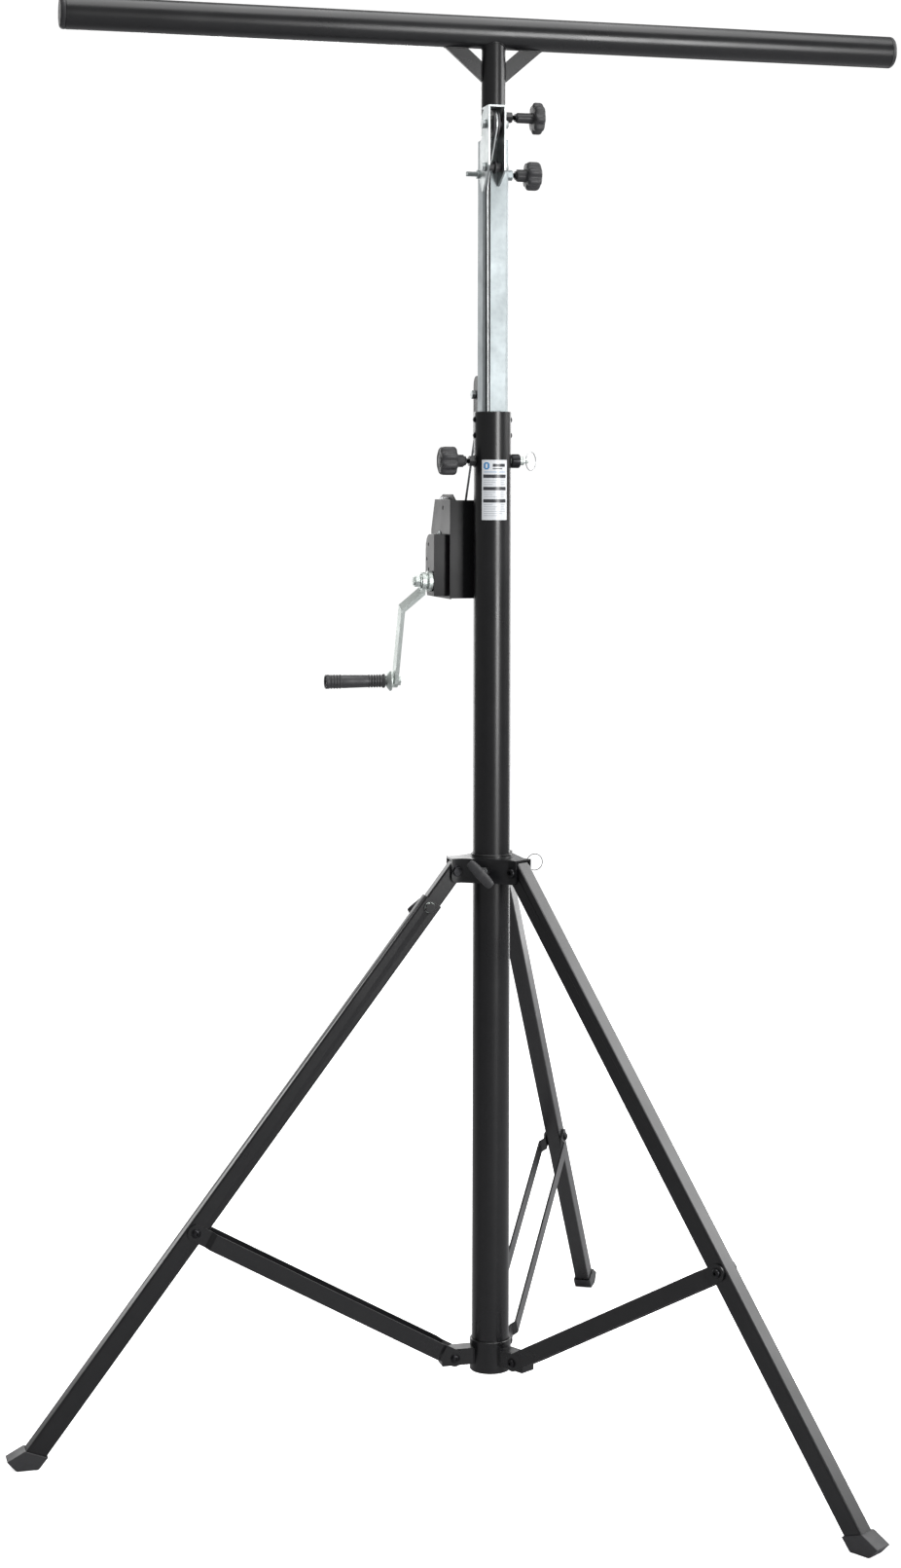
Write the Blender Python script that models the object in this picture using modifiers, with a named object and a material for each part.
"""Crank lighting stand: a two-stage wind-up mast on three folding legs, with a T-bar on top.

Metres, +Z up. The origin is on the floor under the middle of the whole stand. Every position below is
written in the mast's own frame, whose Z axis is the mast axis. The root empty moves that frame to
MAST_X, MAST_Y.
+X runs along the T-bar and -Y is the front, where the lift rope shows. The winch is behind the mast.
"""

import math

import bmesh
import bpy
from mathutils import Matrix, Vector

GAP = 0.0003             # between pieces that touch

# T-bar
TBAR_HALF = 0.6625
TBAR_R = 0.025
TBAR_Z = 2.136
TBAR_WALL = 0.002
CAP_THICKNESS = 0.0080
SLEEVE_R = 0.0187
SLEEVE_BORE = 0.0165
SLEEVE_BOTTOM = 1.977
SPIGOT_R = 0.016
TBAR_CLAMP_Z = 2.007

# Mast stages
TUBE_R = 0.0285
TUBE_WALL = 0.002
TUBE_BOTTOM = 0.082
TUBE_TOP = 1.553
PROFILE_HALF = 0.020
PROFILE_WALL = 0.002
PROFILE_TOP = 1.970
PROFILE_BOTTOM = 0.570
SLOT_LEFT, SLOT_RIGHT = -0.0172, -0.0092
NOTCH_BOTTOM = 1.925
INNER_HALF = 0.014
INNER_Y = 0.003
INNER_TOP = 1.968
INNER_BOTTOM = 0.620
INNER_CLAMP_Z = 1.918
CLAMP_Z = 1.4775         # mast clamp knob and lock pin

# Ropes and pulleys
ROPE_R = 0.002
REAR_PULLEY = (0.046, 1.581)          # Y, Z of its axis
REAR_ROPE_R = 0.02225
TOP_PULLEY = (-0.041, 1.990)
TOP_ROPE_R = 0.0195
TOP_PULLEY_X = -0.010
KEEPER = (-0.0403, 1.9245)
ROPE_FRONT_Y = -0.0179                # lift rope in the profile's slot
ROPE_REAR_Y = -0.0139

# Winch
MODULE = 0.003
PINION_TEETH, GEAR_TEETH = 13, 39
CRANK_Y, CRANK_Z = 0.062, 1.291
DRUM_Y = 0.0965
GEAR_DISTANCE = MODULE * (PINION_TEETH + GEAR_TEETH) / 2
DRUM_Z = CRANK_Z + math.sqrt(GEAR_DISTANCE ** 2 - (DRUM_Y - CRANK_Y) ** 2)
WINCH_LEFT, WINCH_RIGHT = -0.059, 0.032
WINCH_FRONT, WINCH_REAR = 0.032, 0.155
WINCH_BOTTOM, WINCH_TOP = 1.264, 1.418
WINCH_SHEET = 0.0025
GEAR_LEFT, GEAR_RIGHT = -0.0560, -0.0485
DRUM_CORE_R = 0.020
WINDING_R = 0.024
CRANK_RADIUS = 0.171
CRANK_ANGLE = math.radians(22.0)      # from straight down towards the rear
ARM_X = -0.124
HANDLE_Y = CRANK_Y + CRANK_RADIUS * math.sin(CRANK_ANGLE)
HANDLE_Z = CRANK_Z - CRANK_RADIUS * math.cos(CRANK_ANGLE)

# Folding base
LEG_HALF, LEG_HALF_DEEP = 0.0125, 0.0150      # across, and in the plane the leg folds in
HUB_PIVOT_R, HUB_PIVOT_Z = 0.059, 0.851
HUB_TOP, HUB_BOTTOM = 0.870, 0.833
HUB_SHEET = 0.003
FOOT_R = 0.710                        # where a leg's centre line meets the floor
FOOT_TIP_R = 0.736
BRACE_ALONG_LEG = 0.6586
COLLAR_PIVOT_R, COLLAR_PIVOT_Z = 0.060, 0.1065
COLLAR_TOP = 0.130
LUG_HALF = 0.0125
EAR_INNER = 0.0128
BAR_INNER = 0.0195
BAR_THICKNESS = 0.003
LEG_AZIMUTHS = {"left": 181.0, "right": -59.0, "rear": 61.0}
WING_AZIMUTH = 241.0
LEVEL_CLAMP_ALONG = 0.069
LEVEL_SLEEVE_START = 0.058

LEG_ANGLE = math.atan2(FOOT_R - HUB_PIVOT_R, HUB_PIVOT_Z)      # from straight down
LEG_LENGTH = math.hypot(FOOT_R - HUB_PIVOT_R, HUB_PIVOT_Z)
BRACE_TOP_R = HUB_PIVOT_R + BRACE_ALONG_LEG * math.sin(LEG_ANGLE)
BRACE_TOP_Z = HUB_PIVOT_Z - BRACE_ALONG_LEG * math.cos(LEG_ANGLE)
BRACE_LENGTH = math.hypot(BRACE_TOP_R - COLLAR_PIVOT_R, BRACE_TOP_Z - COLLAR_PIVOT_Z)
BRACE_SLOPE = math.atan2(BRACE_TOP_Z - COLLAR_PIVOT_Z, BRACE_TOP_R - COLLAR_PIVOT_R)
FOOT_HALF = 0.015
LEFT_TURN, REAR_TURN, RIGHT_TURN = (math.radians(angle) for angle in (LEG_AZIMUTHS["left"] - 180,
                                                                      LEG_AZIMUTHS["rear"],
                                                                      -LEG_AZIMUTHS["right"]))
FOOT_LEFT_X = FOOT_TIP_R * math.cos(LEFT_TURN) + FOOT_HALF * math.sin(LEFT_TURN)
FOOT_REAR_Y = FOOT_TIP_R * math.sin(REAR_TURN) + FOOT_HALF * math.cos(REAR_TURN)
FOOT_RIGHT_Y = FOOT_TIP_R * math.sin(RIGHT_TURN) + FOOT_HALF * math.cos(RIGHT_TURN)
MAST_X = (FOOT_LEFT_X - TBAR_HALF) / 2
MAST_Y = (FOOT_RIGHT_Y - FOOT_REAR_Y) / 2

# Plates are drawn in (u, v) and stand along a third axis: u, v, normal as columns.
SIDE = Matrix(((0, 0, 1, 0), (1, 0, 0, 0), (0, 1, 0, 0), (0, 0, 0, 1)))   # Y, Z, normal +X
FRONT = Matrix(((1, 0, 0, 0), (0, 0, -1, 0), (0, 1, 0, 0), (0, 0, 0, 1)))  # X, Z, normal -Y
ALONG_X = SIDE                        # turned and round pieces whose own Z becomes +X


# ---------------------------------------------------------------- scene and helpers

for old in list(bpy.data.objects):
    bpy.data.objects.remove(old)

PARTS = bpy.data.collections.new("crank_lighting_stand")
CUTTERS = bpy.data.collections.new("cutters")
bpy.context.scene.collection.children.link(PARTS)
bpy.context.scene.collection.children.link(CUTTERS)


def make_material(name, colour, roughness, metallic):
    material = bpy.data.materials.new(name)
    material.use_nodes = True
    shader = material.node_tree.nodes["Principled BSDF"]
    shader.inputs["Base Color"].default_value = (*colour, 1.0)
    shader.inputs["Roughness"].default_value = roughness
    shader.inputs["Metallic"].default_value = metallic
    return material


BLACK_PAINT = ("black_paint", (0.018, 0.018, 0.020), 0.38, 0.0)
BLACK_PLASTIC = ("black_plastic", (0.030, 0.030, 0.032), 0.55, 0.0)
ZINC = ("zinc", (0.62, 0.66, 0.68), 0.32, 1.0)
STEEL = ("steel", (0.45, 0.45, 0.46), 0.35, 1.0)
NYLON = ("nylon", (0.10, 0.10, 0.11), 0.50, 0.0)


def empty(name, location=(0, 0, 0), parent=None):
    """A joint's empty, placed in the mast frame."""
    axis = bpy.data.objects.new(name, None)
    axis.empty_display_size = 0.02
    PARTS.objects.link(axis)
    if parent is not None:
        axis.parent = parent
    axis.location = location
    return axis


ROOT = empty("stand", (MAST_X, MAST_Y, 0))


def add(name, mesh, place, finish, body):
    """One named piece: its placement is in the mast frame, and it hangs on its body's empty."""
    part = bpy.data.objects.new(name, mesh)
    PARTS.objects.link(part)
    part.parent = body
    if body is not ROOT:
        part.matrix_parent_inverse = Matrix.Translation(-Vector(body.location))
    part.matrix_basis = place
    mesh.materials.clear()
    mesh.materials.append(make_material(name + "_" + finish[0], *finish[1:]))
    mesh.shade_smooth()
    mesh.set_sharp_from_angle(angle=math.radians(32))
    return part


def helper(name, mesh, place):
    """A shape that only cuts or joins others; it is not a piece of the stand."""
    tool = bpy.data.objects.new(name, mesh)
    CUTTERS.objects.link(tool)
    tool.parent = ROOT
    tool.matrix_basis = place
    tool.hide_render = True
    tool.display_type = "WIRE"
    return tool


def combine(part, operation, tool):
    modifier = part.modifiers.new(tool.name, "BOOLEAN")
    modifier.operation = operation
    modifier.object = tool
    modifier.solver = "EXACT"


def cut(part, *tools):
    for number, (mesh, place) in enumerate(tools):
        combine(part, "DIFFERENCE", helper(f"{part.name}_cut_{number}", mesh, place))


def fuse(part, *tools):
    for number, (mesh, place) in enumerate(tools):
        combine(part, "UNION", helper(f"{part.name}_weld_{number}", mesh, place))


def at(x=0.0, y=0.0, z=0.0):
    return Matrix.Translation((x, y, z))


def turn(degrees, axis="Z"):
    return Matrix.Rotation(math.radians(degrees), 4, axis)


def evaluated_mesh(item, name):
    """The mesh of a curve or a modified object, with a curve's caps welded to its sides."""
    graph = bpy.context.evaluated_depsgraph_get()
    mesh = bpy.data.meshes.new_from_object(item.evaluated_get(graph))
    mesh.name = name
    form = bmesh.new()
    form.from_mesh(mesh)
    bmesh.ops.remove_doubles(form, verts=form.verts, dist=0.000001)
    form.to_mesh(mesh)
    form.free()
    bpy.data.objects.remove(item)
    return mesh


def plate(outlines, thickness, name="plate"):
    """A flat sheet: outlines[0] is its edge and the others are its holes. Its middle lies on z = 0."""
    curve = bpy.data.curves.new(name, "CURVE")
    curve.dimensions = "2D"
    curve.fill_mode = "BOTH"
    curve.extrude = thickness / 2
    for outline in outlines:
        spline = curve.splines.new("POLY")
        spline.points.add(len(outline) - 1)
        for point, (u, v) in zip(spline.points, outline):
            point.co = (u, v, 0, 1)
        spline.use_cyclic_u = True
    item = bpy.data.objects.new(name, curve)
    bpy.context.scene.collection.objects.link(item)
    return evaluated_mesh(item, name)


def box(size, name="box"):
    form = bmesh.new()
    bmesh.ops.create_cube(form, size=1.0, matrix=Matrix.Diagonal((*size, 1.0)))
    mesh = bpy.data.meshes.new(name)
    form.to_mesh(mesh)
    form.free()
    return mesh


def rod(radius, length, sides=16, name="rod"):
    """A cylinder on its own Z axis, its middle at the origin. Six sides make a hexagon."""
    form = bmesh.new()
    bmesh.ops.create_cone(form, cap_ends=True, segments=sides, radius1=radius, radius2=radius, depth=length)
    mesh = bpy.data.meshes.new(name)
    form.to_mesh(mesh)
    form.free()
    return mesh


def rod_x(radius, x0, x1, y, z, sides=16):
    """A cylinder along X from x0 to x1, with its placement."""
    return rod(radius, abs(x1 - x0), sides), at((x0 + x1) / 2, y, z) @ ALONG_X


def turned(profile, sides=24, closed=False, name="turned"):
    """A profile of (radius, height) swept about Z, run from the top down the outer side."""
    mesh = bpy.data.meshes.new(name)
    count = len(profile)
    edges = [(i, i + 1) for i in range(count - 1)]
    if closed:
        edges.append((count - 1, 0))
    mesh.from_pydata([(radius, 0, height) for radius, height in profile], edges, [])
    item = bpy.data.objects.new(name, mesh)
    bpy.context.scene.collection.objects.link(item)
    screw = item.modifiers.new("turn", "SCREW")
    screw.steps = sides
    screw.render_steps = sides
    screw.use_merge_vertices = True
    screw.merge_threshold = 0.00001
    screw.use_smooth_shade = True
    return evaluated_mesh(item, name)


def ring(outer, inner, bottom, top, sides=24):
    """A plain tube or washer about Z."""
    return turned([(inner, top), (outer, top), (outer, bottom), (inner, bottom)], sides, closed=True)


def arc(u, v, radius, start, end, steps):
    """Points of an arc from start to end, in degrees."""
    angles = [math.radians(start + (end - start) * i / steps) for i in range(steps + 1)]
    return [(u + radius * math.cos(a), v + radius * math.sin(a)) for a in angles]


def circle(u, v, radius, steps=12):
    return arc(u, v, radius, 0, 360 - 360 / steps, steps - 1)


def rounded(half_u, half_v, radius, u=0.0, v=0.0, steps=3):
    """A rectangle with round corners, counter-clockwise."""
    corners = ((1, 1, 0), (-1, 1, 90), (-1, -1, 180), (1, -1, 270))
    points = []
    for su, sv, start in corners:
        points += arc(u + su * (half_u - radius), v + sv * (half_v - radius), radius, start, start + 90, steps)
    return points


def tangent(point, centre, radius, side):
    """Where a rope from point touches a circle in the (Y, Z) plane; side is +1 or -1."""
    dy, dz = centre[0] - point[0], centre[1] - point[1]
    distance = math.hypot(dy, dz)
    angle = math.atan2(-dz, -dy) + side * math.acos(radius / distance)
    return angle, (centre[0] + radius * math.cos(angle), centre[1] + radius * math.sin(angle))


def rope(points, name="rope"):
    """A round cable along a list of points, with closed ends."""
    curve = bpy.data.curves.new(name, "CURVE")
    curve.dimensions = "3D"
    curve.bevel_depth = ROPE_R
    curve.bevel_resolution = 2
    curve.use_fill_caps = True
    spline = curve.splines.new("POLY")
    spline.points.add(len(points) - 1)
    for point, place in zip(spline.points, points):
        point.co = (*place, 1)
    item = bpy.data.objects.new(name, curve)
    bpy.context.scene.collection.objects.link(item)
    return evaluated_mesh(item, name)


# ---------------------------------------------------------------- repeated hardware

HEX_13 = 0.0075          # corner radius of a 13 mm hexagon


def bolt_x(name, x0, x1, y, z, body, radius=0.004, head=0.006, nut=0.0065, finish=ZINC):
    """A bolt along X through plates at x0 and x1, its head beyond x0 and its nut beyond x1."""
    outward = math.copysign(1.0, x0 - x1)
    mesh, place = rod_x(radius, x0 + outward * 0.002, x1 - outward * (nut + 0.003), y, z, 12)
    part = add(name, mesh, place, finish, body)
    fuse(
        part,
        rod_x(HEX_13, x0 + outward * GAP, x0 + outward * (GAP + head), y, z, 6),
        rod_x(HEX_13, x1 - outward * GAP, x1 - outward * (GAP + nut), y, z, 6),
    )
    return part


def star_outline(radius, lobes, depth, steps):
    """A lobed hand-wheel rim."""
    points = []
    for i in range(lobes * steps):
        angle = 2 * math.pi * i / (lobes * steps)
        reach = radius - depth * (0.5 - 0.5 * math.cos(lobes * angle))
        points.append((reach * math.cos(angle), reach * math.sin(angle)))
    return points


def clamp_knob(name, place, tip, stem_start, stem_end, stem_r, head_end, head_r, lobes, body):
    """A star knob on a clamp screw; its own +Z points away from the mast and tip is the screw's point."""
    head = head_end - stem_end
    part = add(
        name,
        plate([star_outline(head_r, lobes, 0.0035, 3)], head * 0.72),
        place @ at(z=stem_end + head * 0.46),
        BLACK_PLASTIC,
        body,
    )
    crown = turned(
        [(0, head_end), (head_r * 0.50, head_end - head * 0.03), (head_r * 0.78, head_end - head * 0.16),
         (head_r * 0.78, stem_end + head * 0.08), (stem_r, stem_end), (stem_r, stem_start), (0.004, stem_start),
         (0.004, tip), (0, tip)], 12)
    fuse(part, (crown, place))
    return part


# ---------------------------------------------------------------- bodies: one empty on each joint's axis

MAST = ROOT
REAR_PULLEY_AXIS = empty("rear_pulley_axis", (0, *REAR_PULLEY), ROOT)
DRUM_AXIS = empty("drum_axis", (0, DRUM_Y, DRUM_Z), ROOT)
CRANK_AXIS = empty("crank_axis", (0, CRANK_Y, CRANK_Z), ROOT)
GRIP_AXIS = empty("grip_axis", (0, HANDLE_Y, HANDLE_Z), ROOT)
MAST_CLAMP_AXIS = empty("mast_clamp_axis", (0, 0, CLAMP_Z), ROOT)
MAST_PIN_AXIS = empty("mast_pin_axis", (0, 0, CLAMP_Z), ROOT)
MIDDLE_AXIS = empty("middle_stage_axis", (0, 0, PROFILE_BOTTOM), ROOT)
TOP_PULLEY_AXIS = empty("top_pulley_axis", (0, *TOP_PULLEY), ROOT)
INNER_CLAMP_AXIS = empty("inner_clamp_axis", (0, 0, INNER_CLAMP_Z), ROOT)
INNER_AXIS = empty("inner_stage_axis", (0, 0, INNER_BOTTOM), ROOT)
TBAR_AXIS = empty("tbar_axis", (0, 0, TBAR_Z), ROOT)
TBAR_CLAMP_AXIS = empty("tbar_clamp_axis", (0, 0, TBAR_CLAMP_Z), ROOT)
HUB_AXIS = empty("hub_axis", (0, 0, HUB_PIVOT_Z), ROOT)


# ---------------------------------------------------------------- outer tube and its fittings

def build_outer_tube():
    tube = add("outer_tube", ring(TUBE_R, TUBE_R - TUBE_WALL, TUBE_BOTTOM, TUBE_TOP), at(), BLACK_PAINT, MAST)
    fuse(tube, rod_x(0.0085, -TUBE_R + 0.001, -0.038, 0, CLAMP_Z, 6))
    cut(
        tube,
        rod_x(0.0046, -0.0240, -0.045, 0, CLAMP_Z),
        rod_x(0.0056, 0.0240, 0.045, 0, CLAMP_Z),
    )


def build_guide_blocks():
    """Two plastic pads inside the mouth of the outer tube, beside the sliding profile."""
    chord, reach = PROFILE_HALF + 0.0004, TUBE_R - TUBE_WALL - GAP
    half = math.degrees(math.acos(chord / reach))
    outline = arc(0, 0, reach, -half, half, 8)
    for name, angle in (("guide_block_right", 0), ("guide_block_left", 180)):
        add(name, plate([outline], 0.048), turn(angle) @ at(z=1.527), NYLON, MAST)


def build_bottom_collar():
    """Ring at the foot of the mast with three box lugs for the braces, open underneath."""
    collar = add("bottom_collar", ring(0.0316, TUBE_R + GAP, TUBE_BOTTOM, COLLAR_TOP), at(), BLACK_PAINT, MAST)
    outer = [(0.0300, 0.0945), (0.0800, 0.0945), (0.0800, 0.1195), (0.0300, 0.1195)]
    inner = [(0.0335, 0.0900), (0.0770, 0.0900), (0.0770, 0.1165), (0.0335, 0.1165)]
    for azimuth in LEG_AZIMUTHS.values():
        fuse(collar, (plate([outer], 2 * LUG_HALF), turn(azimuth) @ FRONT))
    for azimuth in LEG_AZIMUTHS.values():
        bore = turn(azimuth) @ at(COLLAR_PIVOT_R, 0, COLLAR_PIVOT_Z) @ FRONT
        cut(collar, (plate([inner], 2 * LUG_HALF - 0.006), turn(azimuth) @ FRONT))
        cut(collar, (rod(0.0043, 0.040, 12), bore))


def build_rear_pulley():
    """Fork behind the mouth of the tube, with the pulley that turns the winch rope down the mast."""
    y, z = REAR_PULLEY
    cheek = [(0.0262, 1.485), (0.0500, 1.485), (0.0560, 1.497)]
    cheek += arc(0.041, 1.595, 0.015, 0, 90, 4) + [(0.0300, 1.610), (0.0262, 1.600)]
    bracket = add("rear_pulley_bracket", plate([cheek, circle(y, z, 0.0043)], 0.003), at(x=-0.0145) @ SIDE,
                  STEEL, MAST)
    fuse(
        bracket,
        (plate([cheek, circle(y, z, 0.0043)], 0.003), at(x=0.0145) @ SIDE),
        (box((0.0280, 0.003, 0.063)), at(0, 0.0303, 1.5165)),
    )
    bolt_x("rear_pulley_axle", -0.0160, 0.0160, y, z, MAST)
    build_pulley("rear_pulley", 0, REAR_PULLEY, REAR_ROPE_R, 0.005, 0.0127, REAR_PULLEY_AXIS)


def build_pulley(name, x, centre, rope_radius, half_width, half_hub, body):
    groove, rim = rope_radius - ROPE_R - GAP, rope_radius + 0.00225
    profile = [
        (0.0043, half_hub), (0.0075, half_hub), (0.0075, half_width), (rim, half_width),
        (rim, half_width - 0.0012), (groove, 0.0022), (groove, -0.0022), (rim, -half_width + 0.0012),
        (rim, -half_width), (0.0075, -half_width), (0.0075, -half_hub), (0.0043, -half_hub),
    ]
    add(name, turned(profile, 20, closed=True), at(x, *centre) @ ALONG_X, NYLON, body)


def build_mast_clamp():
    clamp_knob("mast_clamp_knob", at(z=CLAMP_Z) @ turn(180) @ ALONG_X, PROFILE_HALF + GAP, 0.045, 0.058, 0.009,
               0.085, 0.023, 8, MAST_CLAMP_AXIS)


def build_mast_pin():
    """Spring pin opposite the clamp: a bush on the tube, the plunger and its pull ring."""
    housing = turned([(0.0105, 0.0430), (0.0105, 0.0291), (0.0056, 0.0291), (0.0056, 0.0390), (0.0070, 0.0390),
                      (0.0070, 0.0430)], 16, closed=True)
    add("mast_pin_housing", housing, at(z=CLAMP_Z) @ ALONG_X, BLACK_PAINT, MAST)
    plunger = turned([(0, 0.0570), (0.0030, 0.0570), (0.0036, 0.0560), (0.0036, 0.0500), (0.0065, 0.0490),
                      (0.0065, 0.0394), (0.0050, 0.0394), (0.0050, 0.0213), (0.0040, 0.0203), (0, 0.0203)], 14)
    pin = add("mast_lock_pin", plunger, at(z=CLAMP_Z) @ ALONG_X, ZINC, MAST_PIN_AXIS)
    eye = 0.0535
    cut(pin, (rod(0.0018, 0.012, 12), at(eye, 0, CLAMP_Z)))
    pull_ring("mast_pin_ring", Vector((eye, 0, CLAMP_Z)), 0.0145, 42, MAST_PIN_AXIS)


def pull_ring(name, eye, radius, swing, body, tilt=0.0):
    """A wire ring that passes through an eye; swing turns it about Z and tilt lifts its far side."""
    bpy.ops.mesh.primitive_torus_add(major_radius=radius, minor_radius=0.0009, major_segments=20,
                                     minor_segments=6)
    temporary = bpy.context.object
    mesh = temporary.data
    bpy.data.objects.remove(temporary)
    place = Matrix.Translation(eye) @ turn(swing) @ turn(-tilt, "Y") @ at(x=radius) @ turn(90, "X")
    add(name, mesh, place, STEEL, body)


# ---------------------------------------------------------------- winch

def involute_gear(teeth, bore, backlash=0.00025):
    """Outline of a spur gear with short teeth at a 25 degree pressure angle, one tooth on +u."""
    pitch = MODULE * teeth / 2
    base = pitch * math.cos(math.radians(25))
    tip, root = pitch + 0.75 * MODULE, pitch - 1.05 * MODULE

    def half_angle(radius):
        spread = math.sqrt(max((radius / base) ** 2 - 1, 0))
        at_pitch = math.tan(math.radians(25)) - math.radians(25)
        return (math.pi / 2 * MODULE - backlash) / (2 * pitch) + at_pitch - (spread - math.atan(spread))

    radii = [max(base, root), pitch, tip]
    flank = [(root, half_angle(radii[0]))] if root < base else []
    flank += [(radius, half_angle(radius)) for radius in radii]
    points = []
    for tooth in range(teeth):
        middle = 2 * math.pi * tooth / teeth
        for radius, half in flank:
            points.append((radius * math.cos(middle - half), radius * math.sin(middle - half)))
        for radius, half in reversed(flank):
            points.append((radius * math.cos(middle + half), radius * math.sin(middle + half)))
    return [points, circle(0, 0, bore, 20)] if bore else [points]


def build_winch_frame():
    """Sheet frame bolted behind the mast: a front plate and two side plates."""
    thickness = WINCH_SHEET
    side = [(WINCH_FRONT, WINCH_BOTTOM), (WINCH_REAR, WINCH_BOTTOM), (WINCH_REAR, 1.370), (0.131, WINCH_TOP),
            (WINCH_FRONT, WINCH_TOP)]
    left_holes = [side, circle(DRUM_Y, DRUM_Z, 0.0045), circle(CRANK_Y, CRANK_Z, 0.0093, 16),
                  circle(0.079, 1.405, 0.0035)]
    frame = add("winch_frame", plate(left_holes, thickness), at(x=WINCH_LEFT + thickness / 2) @ SIDE,
                BLACK_PAINT, MAST)
    width = WINCH_RIGHT - WINCH_LEFT
    height = WINCH_TOP - WINCH_BOTTOM
    middle_z = (WINCH_TOP + WINCH_BOTTOM) / 2
    middle_x = (WINCH_LEFT + WINCH_RIGHT) / 2
    fuse(
        frame,
        (plate([side, circle(DRUM_Y, DRUM_Z, 0.0063)], thickness), at(x=WINCH_RIGHT - thickness / 2) @ SIDE),
        (box((width - 0.002, 0.003, height - 0.002)), at(middle_x, WINCH_FRONT + 0.0016, middle_z)),
        (box((0.020, 0.0042, 0.022)), at(0, 0.0310, 1.300)),
        (box((0.020, 0.0042, 0.022)), at(0, 0.0310, 1.380)),
    )
    guard = [(0.0355, 1.268), (0.151, 1.268), (0.151, 1.418), (0.126, 1.426), (0.066, 1.426), (0.0355, 1.412)]
    holes = [circle(DRUM_Y, DRUM_Z, 0.0120, 16), circle(CRANK_Y, CRANK_Z, 0.0074)]
    add("winch_guard_plate", plate([guard] + holes, 0.002), at(x=-0.0465) @ SIDE, BLACK_PAINT, MAST)


def build_gear_cover():
    """Box on the left side plate, over the crank bearing; it is open towards the plate."""
    outer = [(0.046, 1.268), (0.090, 1.268), (0.101, 1.285)]
    outer += arc(0.077, 1.340, 0.024, 0, 90, 4) + [(0.046, 1.364)]
    inner = [(0.0485, 1.2705), (0.0888, 1.2705), (0.0985, 1.2860)]
    inner += arc(0.077, 1.340, 0.0215, 0, 90, 4) + [(0.0485, 1.3615)]
    left, right = -0.081, WINCH_LEFT - GAP
    cover = add("winch_gear_cover", plate([outer], right - left), at(x=(left + right) / 2) @ SIDE,
                BLACK_PAINT, MAST)
    cut(
        cover,
        (plate([inner], 0.030), at(x=left + 0.0025 + 0.015) @ SIDE),
        rod_x(0.0093, -0.085, -0.075, CRANK_Y, CRANK_Z),
        rod_x(0.0028, -0.085, -0.075, 0.083, 1.348, 12),
        rod_x(0.0028, -0.085, -0.075, 0.093, 1.325, 12),
        rod_x(0.0028, -0.085, -0.075, 0.080, 1.309, 12),
    )


def build_drum():
    """Drum with its flanges, the large gear on its left hub, the rope wound on it and the fixed axle."""
    hub, flange, right = 0.0110, 0.040, 0.026
    profile = [
        (0.0063, 0.0290), (hub, 0.0290), (hub, right), (flange, right), (flange, right - 0.002),
        (DRUM_CORE_R, right - 0.002), (DRUM_CORE_R, -0.042), (flange, -0.042), (flange, -0.044), (hub, -0.044),
        (hub, GEAR_LEFT), (0.0063, GEAR_LEFT),
    ]
    place = at(y=DRUM_Y, z=DRUM_Z) @ ALONG_X
    add("cable_drum", turned(profile, 24, closed=True), place, STEEL, DRUM_AXIS)
    # The gear's gap faces the pinion: a tooth of the pinion lies on the line between the two axes.
    to_pinion = math.degrees(math.atan2(CRANK_Z - DRUM_Z, CRANK_Y - DRUM_Y))
    middle = (GEAR_LEFT + GEAR_RIGHT) / 2
    gear = plate(involute_gear(GEAR_TEETH, hub + GAP), GEAR_RIGHT - GEAR_LEFT)
    add("drum_gear", gear, at(middle, DRUM_Y, DRUM_Z) @ ALONG_X @ turn(to_pinion + 180 / GEAR_TEETH), STEEL,
        DRUM_AXIS)
    add("rope_windings", ring(WINDING_R, DRUM_CORE_R + GAP, -0.0415, -0.0130, 24), place, STEEL, DRUM_AXIS)
    axle = turned([(0, 0.0362), (0.0075, 0.0360), (0.0085, 0.0352), (0.0085, 0.0323), (0.0060, 0.0323),
                   (0.0060, -0.0562), (0.0042, -0.0562), (0.0042, -0.0630), (0.0034, -0.0638), (0, -0.0638)], 16)
    add("drum_axle", axle, place, ZINC, MAST)


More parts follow.
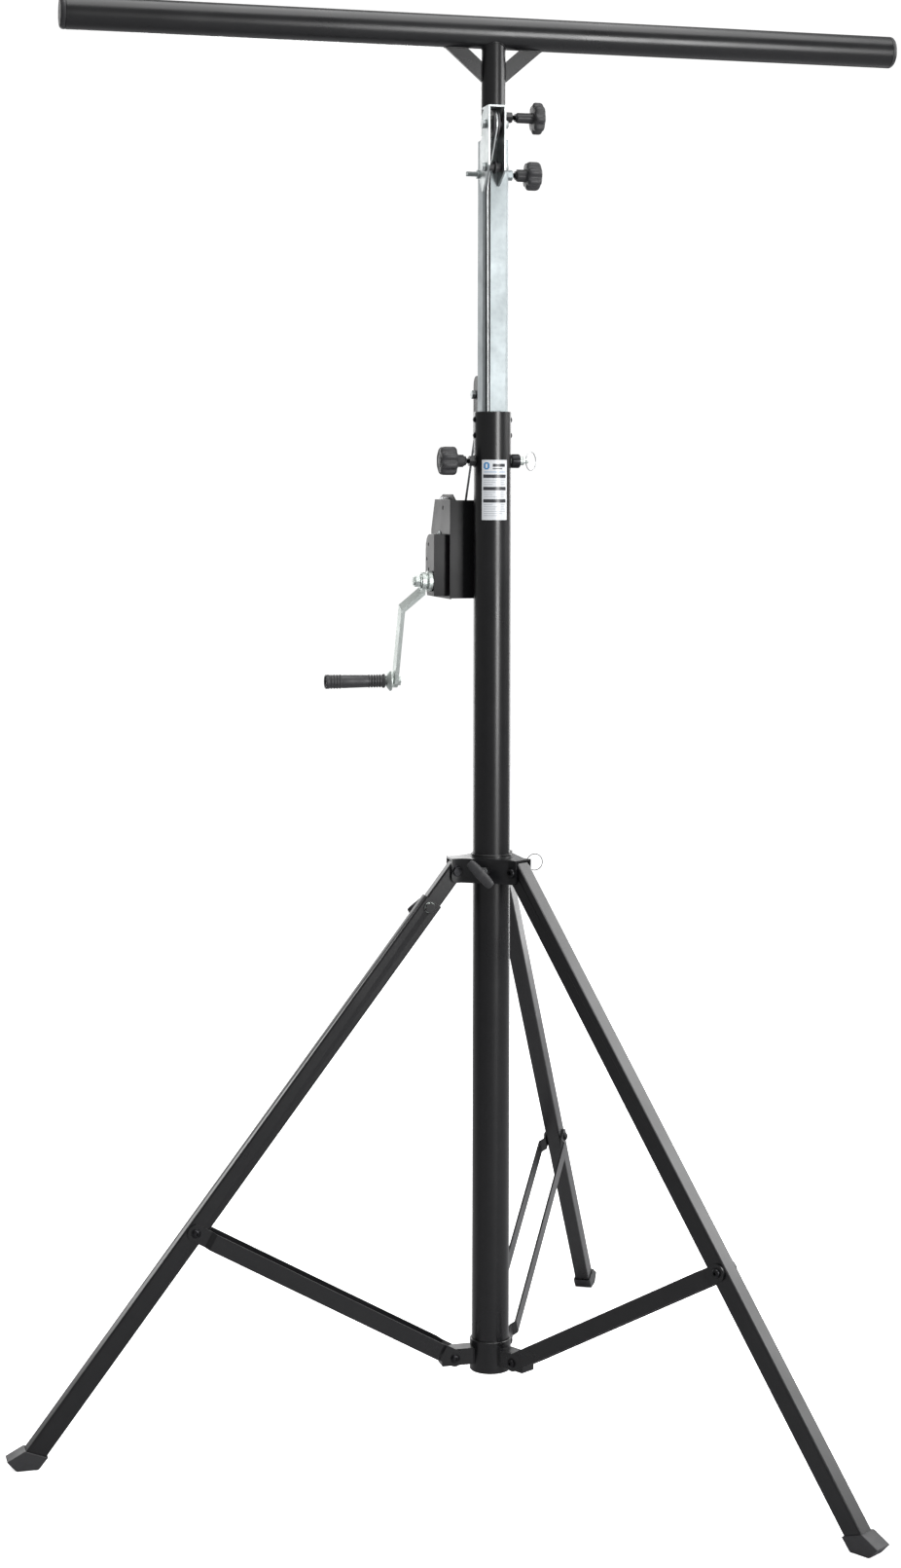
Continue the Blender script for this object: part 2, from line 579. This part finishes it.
def build_crank():
    """Pinion shaft, the bent arm, the handle spindle and the grip that turns on it."""
    to_gear = math.degrees(math.atan2(DRUM_Z - CRANK_Z, DRUM_Y - CRANK_Y))
    middle = (GEAR_LEFT + GEAR_RIGHT) / 2
    shaft = add("crank_shaft", plate(involute_gear(PINION_TEETH, 0), GEAR_RIGHT - GEAR_LEFT),
                at(middle, CRANK_Y, CRANK_Z) @ ALONG_X @ turn(to_gear), ZINC, CRANK_AXIS)
    journal = turned([(0, -0.0430), (0.0070, -0.0430), (0.0070, -0.0810), (0.0160, -0.0813), (0.0160, -0.0880),
                      (0.0070, -0.0883), (0.0070, -0.1105), (0, -0.1105)], 20)
    fuse(shaft, (journal, at(y=CRANK_Y, z=CRANK_Z) @ ALONG_X),
         rod_x(0.0100, -0.0995, -0.1080, CRANK_Y, CRANK_Z, 6))
    # The arm lies in the plane of the crank axis (local v, towards +X) and the radius (local u).
    radial = Matrix(((0, -1, 0, 0), (math.sin(CRANK_ANGLE), 0, math.cos(CRANK_ANGLE), 0),
                     (-math.cos(CRANK_ANGLE), 0, math.sin(CRANK_ANGLE), 0), (0, 0, 0, 1)))
    place = at(y=CRANK_Y, z=CRANK_Z) @ radial
    half, root = 0.003, 0.0945
    tip = -ARM_X
    bar = [(0, root - half), (0.0185, root - half), (0.0475, tip - half), (CRANK_RADIUS, tip - half),
           (CRANK_RADIUS, tip + half), (0.0445, tip + half), (0.0155, root + half), (0, root + half)]
    arm = add("crank_arm", plate([bar], 0.022), place, ZINC, CRANK_AXIS)
    fuse(
        arm,
        rod_x(0.0142, -root - half * 0.98, -root + half * 0.98, CRANK_Y, CRANK_Z, 28),
        rod_x(0.0110, ARM_X - half * 0.98, ARM_X + half * 0.98, HANDLE_Y, HANDLE_Z, 28),
    )
    cut(
        arm,
        rod_x(0.0073, -0.110, -0.080, CRANK_Y, CRANK_Z, 20),
        rod_x(0.0053, -0.140, -0.110, HANDLE_Y, HANDLE_Z, 20),
    )
    handle = at(y=HANDLE_Y, z=HANDLE_Z) @ ALONG_X
    spindle = turned([(0, -0.1150), (0.0050, -0.1150), (0.0050, -0.1300), (0.0160, -0.1304), (0.0160, -0.1322),
                      (0.0085, -0.1385), (0.0050, -0.1388), (0.0050, -0.2272), (0.0080, -0.2274),
                      (0.0080, -0.2305), (0, -0.2310)], 16)
    pin = add("grip_spindle", spindle, handle, ZINC, CRANK_AXIS)
    fuse(pin, rod_x(0.0085, -0.1160, -0.1205, HANDLE_Y, HANDLE_Z, 6))
    grip = [(0.0054, -0.1410), (0.0112, -0.1410)]
    for x in (-0.1450, -0.1510, -0.1570, -0.2180, -0.2240):
        grip += [(0.0112, x), (0.0098, x - 0.0012), (0.0112, x - 0.0024)]
        if x == -0.1570:
            grip += [(0.0098, -0.1630), (0.0095, -0.1850), (0.0098, -0.2120)]
    grip += [(0.0112, -0.2360), (0.0090, -0.2360), (0.0090, -0.2268), (0.0054, -0.2268)]
    add("crank_grip", turned(grip, 16, closed=True), handle, BLACK_PLASTIC, GRIP_AXIS)


def winch_rope_points():
    """Inside the tube, over the rear pulley and down to the rear side of the drum."""
    y, z = REAR_PULLEY
    lay = WINDING_R + ROPE_R + GAP
    gap = Vector((DRUM_Y - y, DRUM_Z - z))
    lean = math.acos((REAR_ROPE_R - lay) / gap.length) + math.atan2(gap.y, gap.x)
    points = [(0, y - REAR_ROPE_R, 0.500), (0, y - REAR_ROPE_R, 1.200)]
    steps = 10
    for i in range(steps + 1):
        angle = math.pi + (lean - math.pi) * i / steps
        points.append((0, y + REAR_ROPE_R * math.cos(angle), z + REAR_ROPE_R * math.sin(angle)))
    points.append((-0.018, DRUM_Y + lay * math.cos(lean), DRUM_Z + lay * math.sin(lean)))
    return points


# ---------------------------------------------------------------- middle and inner stages

def build_middle_mast():
    """Folded profile with a rope slot in its front wall, and the welded nut of the inner clamp."""
    out, outer, inner = PROFILE_HALF, 0.0050, 0.0050 - PROFILE_WALL
    bend = out - outer
    lip_out, lip_in = (360 - math.degrees(math.acos((SLOT_LEFT + bend) / radius)) for radius in (outer, inner))
    outline = [(SLOT_RIGHT, -out)]
    outline += arc(bend, -bend, outer, 270, 360, 3) + arc(bend, bend, outer, 0, 90, 3)
    outline += arc(-bend, bend, outer, 90, 180, 3) + arc(-bend, -bend, outer, 180, lip_out, 2)
    outline += arc(-bend, -bend, inner, lip_in, 180, 1) + arc(-bend, bend, inner, 180, 90, 2)
    outline += arc(bend, bend, inner, 90, 0, 2) + arc(bend, -bend, inner, 360, 270, 2)
    outline += [(SLOT_RIGHT, -out + PROFILE_WALL)]
    height = PROFILE_TOP - PROFILE_BOTTOM
    profile = add("middle_mast", plate([outline], height), at(z=PROFILE_BOTTOM + height / 2), ZINC, MIDDLE_AXIS)
    cut(profile, (box((0.0120, 0.008, 0.060)), at(-0.0090 + 0.0045, -out, NOTCH_BOTTOM + 0.030)))
    fuse(profile, rod_x(HEX_13 + 0.0008, out - 0.001, 0.0300, 0, INNER_CLAMP_Z, 6))
    cut(
        profile,
        rod_x(0.0046, 0.0120, 0.0350, 0, INNER_CLAMP_Z, 16),
        rod_x(0.0044, -0.0250, -0.0120, 0, INNER_CLAMP_Z, 16),
    )


def build_pulley_bracket():
    """Fork in front of the profile's top: two plates and the web over them, one side longer."""
    back = -0.0203
    left = [(-0.0090, 1.905), (-0.0200, 1.889), (-0.0265, 1.889), (-0.0600, 1.9256), (-0.0600, 2.0160),
            (-0.0330, 2.0160), (-0.0195, 2.0060), (-0.0195, 1.9720), (-0.0090, 1.9650)]
    right = [(back, 1.898), (-0.0235, 1.898), (-0.0600, 1.9180), (-0.0600, 2.0160), (back, 2.0160)]
    holes = [circle(*TOP_PULLEY, 0.0043), circle(*KEEPER, 0.0043)]
    bracket = add("pulley_bracket", plate([left] + holes, 0.003), at(x=-0.0218) @ SIDE, ZINC, MIDDLE_AXIS)
    fuse(
        bracket,
        (plate([right] + holes, 0.003), at(x=0.0030) @ SIDE),
        (box((0.0272, 0.0395, 0.003)), at(-0.0094, -0.04005, 2.0158)),
    )
    y, z = TOP_PULLEY
    bolt_x("top_pulley_axle", -0.0233, 0.0045, y, z, MIDDLE_AXIS)
    ky, kz = KEEPER
    keeper = bolt_x("rope_keeper", -0.0233, 0.0045, ky, kz, MIDDLE_AXIS, radius=0.0038, head=0.0055, nut=0.0060)
    roller = turned([(0, 0.0010), (0.0070, 0.0010), (0.0070, -0.0065), (0.0100, -0.0068), (0.0100, -0.0090),
                     (0.0055, -0.0092), (0.0055, -0.0195), (0, -0.0195)], 16)
    fuse(keeper, (roller, at(y=ky, z=kz) @ ALONG_X))
    build_pulley("top_pulley", TOP_PULLEY_X, TOP_PULLEY, TOP_ROPE_R, 0.0045, 0.0098, TOP_PULLEY_AXIS)


def build_stop_bolt():
    stud, place = rod_x(0.0040, -0.0145, -0.0430, 0, INNER_CLAMP_Z, 16)
    bolt = add("stop_bolt", stud, place, ZINC, MIDDLE_AXIS)
    fuse(bolt, rod_x(HEX_13, -PROFILE_HALF - GAP, -0.0275, 0, INNER_CLAMP_Z, 6))


def build_middle_slider():
    """Plug that guides the foot of the profile in the outer tube, relieved for the winch rope."""
    slider = add("middle_slider", rod(0.0261, 0.0340, 24), at(z=0.5526), NYLON, MIDDLE_AXIS)
    fuse(slider, (box((0.0340, 0.0340, 0.0300)), at(z=0.5720)))
    cut(
        slider,
        (box((0.0080, 0.0120, 0.080)), at(0, 0.0275, 0.560)),
        (box((0.0130, 0.0080, 0.030)), at(-0.0130, -0.0180, 0.5850)),
    )


def lift_rope_points():
    """From the foot of the middle stage up its slot, over the top pulley and down to the inner stage."""
    start = (-0.0225, 1.9080)
    _, touch = tangent(start, TOP_PULLEY, TOP_ROPE_R, 1)
    if touch[0] > TOP_PULLEY[0]:
        _, touch = tangent(start, TOP_PULLEY, TOP_ROPE_R, -1)
    front = math.atan2(touch[1] - TOP_PULLEY[1], touch[0] - TOP_PULLEY[0])
    points = [(-0.0120, ROPE_FRONT_Y, 0.600), (-0.0120, ROPE_FRONT_Y, 1.540), (-0.0140, ROPE_FRONT_Y, 1.880),
              (-0.0140, -0.0183, 1.8900), (-0.0139, -0.0197, 1.9000), (-0.0137, *start)]
    first, last = (front + 2 * math.pi) % (2 * math.pi), math.radians(-12)
    steps = 12
    for i in range(steps + 1):
        angle = first + (last - first) * i / steps
        y = TOP_PULLEY[0] + TOP_ROPE_R * math.cos(angle)
        points.append((TOP_PULLEY_X, y, TOP_PULLEY[1] + TOP_ROPE_R * math.sin(angle)))
    return points + [(TOP_PULLEY_X, -0.0160, 1.9500), (TOP_PULLEY_X, ROPE_REAR_Y, 1.9350),
                     (TOP_PULLEY_X, ROPE_REAR_Y, 0.640)]


def build_inner_mast():
    """Square tube with a round spigot on top, and its plastic slide."""
    half, wall = INNER_HALF, 0.002
    length = INNER_TOP - INNER_BOTTOM
    section = [rounded(half, half, 0.0026, v=INNER_Y, steps=2),
               rounded(half - wall, half - wall, 0.001, v=INNER_Y, steps=1)]
    inner = add("inner_mast", plate(section, length), at(z=INNER_BOTTOM + length / 2), ZINC, INNER_AXIS)
    spigot = turned([(0, 1.9750), (0.0130, 1.9750), (0.0130, 2.0980), (0.0150, 2.0980), (SPIGOT_R, 2.0960),
                     (SPIGOT_R, 1.9715), (0, 1.9715)], 24)
    lid = box((2 * half - 0.001, 2 * half - 0.001, 0.006))
    fuse(inner, (lid, at(0, INNER_Y, INNER_TOP + 0.0018)), (spigot, at()))
    foot = plate([rounded(0.0176, 0.0176, 0.0036)], 0.0280)
    slider = add("inner_slider", foot, at(z=INNER_BOTTOM - 0.0143), NYLON, INNER_AXIS)
    fuse(slider, (box((0.0220, 0.0220, 0.0240)), at(0, INNER_Y, INNER_BOTTOM)))
    cut(slider, (box((0.0140, 0.0090, 0.040)), at(-0.0122, -0.0155, INNER_BOTTOM - 0.0143)))


def build_inner_clamp():
    clamp_knob("inner_clamp_knob", at(z=INNER_CLAMP_Z) @ ALONG_X, INNER_HALF + GAP, 0.037, 0.049, 0.0095,
               0.076, 0.0225, 7, INNER_CLAMP_AXIS)


# ---------------------------------------------------------------- T-bar

def build_tbar():
    tube = ring(TBAR_R, TBAR_R - TBAR_WALL, -TBAR_HALF + CAP_THICKNESS, TBAR_HALF - CAP_THICKNESS)
    add("tbar_tube", tube, at(z=TBAR_Z) @ ALONG_X, BLACK_PAINT, TBAR_AXIS)
    plug = turned([(0, TBAR_HALF), (0.0190, TBAR_HALF - 0.0004), (0.0235, TBAR_HALF - 0.0022),
                   (TBAR_R, TBAR_HALF - 0.0050), (TBAR_R, TBAR_HALF - CAP_THICKNESS + GAP),
                   (0.0226, TBAR_HALF - CAP_THICKNESS + GAP), (0.0226, TBAR_HALF - 0.026), (0, TBAR_HALF - 0.026)])
    add("tbar_cap_right", plug, at(z=TBAR_Z) @ ALONG_X, BLACK_PLASTIC, TBAR_AXIS)
    add("tbar_cap_left", plug.copy(), at(z=TBAR_Z) @ turn(180) @ ALONG_X, BLACK_PLASTIC, TBAR_AXIS)


def build_tbar_sleeve():
    """Tube that fits over the spigot, welded under the T-bar with a flat gusset on each side."""
    tube = ring(SLEEVE_R, SLEEVE_BORE, SLEEVE_BOTTOM, 2.130)
    sleeve = add("tbar_sleeve", tube, at(), BLACK_PAINT, TBAR_AXIS)
    under = TBAR_Z - TBAR_R + 0.004
    for side in (1, -1):
        corners = ((0.0176, 2.0590), (0.0820, under), (0.0455, under), (0.0176, 2.0905))
        gusset = [(side * u, v) for u, v in corners]
        fuse(sleeve, (plate([gusset], 0.005), FRONT))
    fuse(sleeve, rod_x(0.0085, SLEEVE_R - 0.001, 0.0300, 0, TBAR_CLAMP_Z, 6))
    cut(
        sleeve,
        (rod(TBAR_R + GAP, 0.200, 24), at(z=TBAR_Z) @ ALONG_X),
        rod_x(0.0046, 0.0120, 0.035, 0, TBAR_CLAMP_Z),
    )
    clamp_knob("tbar_clamp_knob", at(z=TBAR_CLAMP_Z) @ ALONG_X, SPIGOT_R + GAP, 0.037, 0.062, 0.008, 0.085,
               0.0245, 10, TBAR_CLAMP_AXIS)


# ---------------------------------------------------------------- folding base

def hub_outline(reach, bend, width):
    """Seen from above: three channels of this half width, with a flat skirt between each two."""
    points = []
    for azimuth in sorted(angle % 360 for angle in LEG_AZIMUTHS.values()):
        for x, y in ((bend, -width), (reach, -width), (reach, width), (bend, width)):
            place = turn(azimuth) @ Vector((x, y, 0))
            points.append((place.x, place.y))
    return points


def build_hub():
    """Sliding hub: a sleeve under a folded cover that holds the legs' upper ends in three channels."""
    height, width = HUB_TOP - HUB_BOTTOM, 0.017
    middle = (HUB_TOP + HUB_BOTTOM) / 2
    cover = plate([hub_outline(0.0675, 0.0520, width)], height)
    hub = add("leg_hub", cover, at(z=middle), BLACK_PAINT, HUB_AXIS)
    hollow = plate([hub_outline(0.0900, 0.0512, width - HUB_SHEET)], height)
    cut(hub, (hollow, at(z=middle - HUB_SHEET)))
    fuse(hub, (rod(0.0316, height + 0.005, 24), at(z=middle + 0.0025)))
    for azimuth in LEG_AZIMUTHS.values():
        cut(hub, (rod(0.0043, 0.060, 12), turn(azimuth) @ at(HUB_PIVOT_R, 0, HUB_PIVOT_Z) @ FRONT))
    wing = turn(WING_AZIMUTH) @ at(z=HUB_PIVOT_Z) @ ALONG_X
    fuse(hub, (rod(0.0085, 0.0100, 6), wing @ at(z=0.0445)), rod_x(0.0085, 0.0306, 0.0460, 0, 0.856, 20))
    cut(
        hub,
        (rod(0.0043, 0.0400, 12), wing @ at(z=0.0380)),
        rod_x(0.0043, 0.0180, 0.0500, 0, 0.856, 12),
        (rod(TUBE_R + 0.0004, 0.060, 24), at(z=HUB_PIVOT_Z)),
    )
    for name, azimuth in LEG_AZIMUTHS.items():
        build_leg_bolt(name, azimuth, width)
    lock = turned([(0, 0.0600), (0.0034, 0.0600), (0.0038, 0.0592), (0.0038, 0.0540), (0.0060, 0.0530),
                   (0.0060, 0.0465), (0.0040, 0.0465), (0.0040, 0.0290), (0, 0.0290)], 14)
    pin = add("hub_lock_pin", lock, at(z=0.856) @ ALONG_X, ZINC, HUB_PIN_AXIS)
    cut(pin, (rod(0.0023, 0.012, 12), at(0.0568, 0, 0.856)))
    pull_ring("hub_pin_ring", Vector((0.0568, 0, 0.856)), 0.0125, 0, HUB_PIN_AXIS, tilt=9)
    build_wing_knob("hub_wing_knob", wing, 0.0289, 0.0560, 0.0620, HUB_WING_AXIS, -45)


def build_leg_bolt(name, azimuth, width):
    """Pivot bolt of a leg through the two cheeks of its channel."""
    place = turn(azimuth) @ at(HUB_PIVOT_R, 0, HUB_PIVOT_Z) @ FRONT
    part = add(f"leg_pivot_bolt_{name}", rod(0.0040, 2 * width + 0.008, 16), place, ZINC, HUB_AXIS)
    for side in (1, -1):
        fuse(part, (rod(0.0068, 0.0040, 6), place @ at(z=side * (width + GAP + 0.0020))))


def build_wing_knob(name, place, tip, hub_start, lever_start, body, angle):
    """Wing lever on a clamp screw; its own +Z points away from what it clamps."""
    lever = plate([rounded(0.0250, 0.0070, 0.0065, steps=4)], 0.0090)
    stem = turned([(0, lever_start + 0.0120), (0.0070, lever_start + 0.0110), (0.0085, hub_start),
                   (0.0040, hub_start), (0.0040, tip), (0, tip)], 14)
    part = add(name, lever, place @ turn(angle) @ at(z=lever_start + 0.0062), BLACK_PLASTIC, body)
    fuse(part, (stem, place))


def leg_frame(azimuth):
    """The leg's own frame: +X along the leg from its pivot, Z across it towards the outside and up."""
    tilt = Matrix.Rotation(math.pi / 2 - LEG_ANGLE, 4, "Y")
    return turn(azimuth) @ at(HUB_PIVOT_R, 0, HUB_PIVOT_Z) @ tilt


def add_leg_tube(name, half, deep, wall, start, end, azimuth, body):
    """A rectangular tube along +X of the leg frame. half is across it and deep is in the fold plane."""
    section = [rounded(half, deep, 0.0026, steps=2), rounded(half - wall, deep - wall, 0.001, steps=1)]
    place = leg_frame(azimuth) @ at(x=(start + end) / 2) @ SIDE
    return add(name, plate(section, end - start), place, BLACK_PAINT, body)


def build_leg(name, azimuth, body, lower_body):
    """One leg from its pivot in the hub to its foot. The left leg is in two pieces, to level the stand."""
    end, top = LEG_LENGTH - 0.019, -0.0075
    half, deep = LEG_HALF, LEG_HALF_DEEP
    pivot = leg_frame(azimuth) @ turn(90, "X")
    if name == "left":
        start, slip = LEVEL_SLEEVE_START, 0.0020
        upper = add_leg_tube("leg_left_upper", half - slip, deep - slip, 0.0020, top, 0.380, azimuth, body)
        lower = add_leg_tube("leg_left_lower", half, deep, 0.0017, start, end, azimuth, lower_body)
        cut(upper, (rod(0.0043, 0.040, 12), pivot))
        clamp = leg_frame(azimuth) @ at(x=LEVEL_CLAMP_ALONG) @ turn(90, "X")
        fuse(lower, (rod(0.0080, 0.0070, 6), clamp @ at(z=half + 0.0030)),
             (rod(HEX_13 + 0.0010, 0.0080, 6), clamp @ at(z=-half - 0.0035)))
        cut(lower, (rod(0.0043, 0.0140, 16), clamp @ at(z=half + 0.0010)))
        build_wing_knob("level_wing_knob", clamp, 0.0108, 0.0260, 0.0290, LEVEL_WING_AXIS, 18)
    else:
        leg = add_leg_tube(f"leg_{name}", half, deep, 0.0015, top, end, azimuth, body)
        cut(leg, (rod(0.0043, 0.040, 12), pivot))
    build_foot(name, azimuth, end, lower_body)


def build_foot(name, azimuth, leg_end, body):
    """Plastic cap on the leg's lower end, flat on the floor."""
    along = Vector((math.sin(LEG_ANGLE), -math.cos(LEG_ANGLE)))
    across = Vector((math.cos(LEG_ANGLE), math.sin(LEG_ANGLE)))
    high = Vector((FOOT_R, 0)) - 0.023 * along + 0.0172 * across
    low = Vector((FOOT_R, 0)) - 0.034 * along - 0.0172 * across
    outline = [tuple(low), (0.6885, 0.0015), (0.6900, 0), (0.7205, 0), (0.7235, 0.0015), (FOOT_TIP_R, 0.0150),
               tuple(high)]
    foot = add(f"foot_{name}", plate([outline], 2 * FOOT_HALF), turn(azimuth) @ FRONT, BLACK_PLASTIC, body)
    depth = LEG_LENGTH - leg_end - 0.0005
    pocket = box((0.060, 2 * LEG_HALF + 2 * GAP, 2 * LEG_HALF_DEEP + 2 * GAP))
    cut(foot, (pocket, leg_frame(azimuth) @ at(x=LEG_LENGTH - depth - 0.030)))


def brace_bar_mesh():
    """One flat bar along +X from the collar pivot; it stands off sideways between its two ears."""
    ear, mid, thick, length = EAR_INNER, BAR_INNER, BAR_THICKNESS, BRACE_LENGTH
    bend_in, bend_out = 0.0200, 0.0275
    lean = 0.0012
    inner = [(0, ear), (bend_in, ear), (bend_out, mid), (length - bend_out, mid), (length - bend_in, ear),
             (length, ear)]
    outer = [(length, ear + thick), (length - bend_in - lean, ear + thick), (length - bend_out - lean, mid + thick),
             (bend_out + lean, mid + thick), (bend_in + lean, ear + thick), (0, ear + thick)]
    outer = outer[:2] + [(length - bend_out + lean - 2 * lean, mid + thick)] + outer[3:]
    bar = helper("brace_bar_form", plate([inner + outer], 2 * LEG_HALF), at())
    middle = ear + thick / 2
    across = turn(90, "X")
    for number, (x, y0, y1, radius, sides) in enumerate((
            (0, ear + 0.00004, ear + thick - 0.00004, LEG_HALF, 18),
            (length, ear + 0.00004, ear + thick - 0.00004, LEG_HALF, 18),
            (0, ear + thick - 0.001, ear + thick + 0.0045, 0.0065, 6),
            (length, ear + thick - 0.001, ear + thick + 0.0045, 0.0065, 6),
            (0, ear - 0.0026, middle, 0.0040, 12))):
        tool = helper(f"brace_bar_form_{number}", rod(radius, y1 - y0, sides), at(x, (y0 + y1) / 2, 0) @ across)
        combine(bar, "UNION", tool)
    return evaluated_mesh(bar, "brace_bar")


def build_brace(name, azimuth, bar, body):
    """Two bars from the collar's lug to the leg, one on each side."""
    place = turn(azimuth) @ at(COLLAR_PIVOT_R, 0, COLLAR_PIVOT_Z) @ Matrix.Rotation(-BRACE_SLOPE, 4, "Y")
    add(f"brace_{name}_a", bar.copy(), place, BLACK_PAINT, body)
    add(f"brace_{name}_b", bar.copy(), place @ turn(180, "X"), BLACK_PAINT, body)


# ---------------------------------------------------------------- build everything

HUB_PIN_AXIS = empty("hub_pin_axis", (0, 0, 0.856), ROOT)
HUB_WING_AXIS = empty("hub_wing_axis", (0, 0, HUB_PIVOT_Z), ROOT)
LEVEL_CLAMP = leg_frame(LEG_AZIMUTHS["left"]) @ Vector((LEVEL_CLAMP_ALONG, 0, 0))
LEVEL_WING_AXIS = empty("level_wing_axis", LEVEL_CLAMP, ROOT)

build_outer_tube()
build_guide_blocks()
build_bottom_collar()
build_rear_pulley()
build_mast_clamp()
build_mast_pin()
build_winch_frame()
build_gear_cover()
build_drum()
build_crank()
add("winch_rope", rope(winch_rope_points()), at(), STEEL, MAST)
build_middle_mast()
build_pulley_bracket()
build_stop_bolt()
build_middle_slider()
add("lift_rope", rope(lift_rope_points()), at(), STEEL, MIDDLE_AXIS)
build_inner_mast()
build_inner_clamp()
build_tbar()
build_tbar_sleeve()
build_hub()
BAR = brace_bar_mesh()
for leg_name, leg_azimuth in LEG_AZIMUTHS.items():
    pivot_place = turn(leg_azimuth) @ Vector((HUB_PIVOT_R, 0, HUB_PIVOT_Z))
    collar_place = turn(leg_azimuth) @ Vector((COLLAR_PIVOT_R, 0, COLLAR_PIVOT_Z))
    leg_axis = empty(f"leg_{leg_name}_axis", pivot_place, ROOT)
    brace_axis = empty(f"brace_{leg_name}_axis", collar_place, ROOT)
    lower_axis = leg_axis
    if leg_name == "left":
        lower_axis = empty("level_slide_axis", LEVEL_CLAMP, ROOT)
    build_leg(leg_name, leg_azimuth, leg_axis, lower_axis)
    build_brace(leg_name, leg_azimuth, BAR, brace_axis)
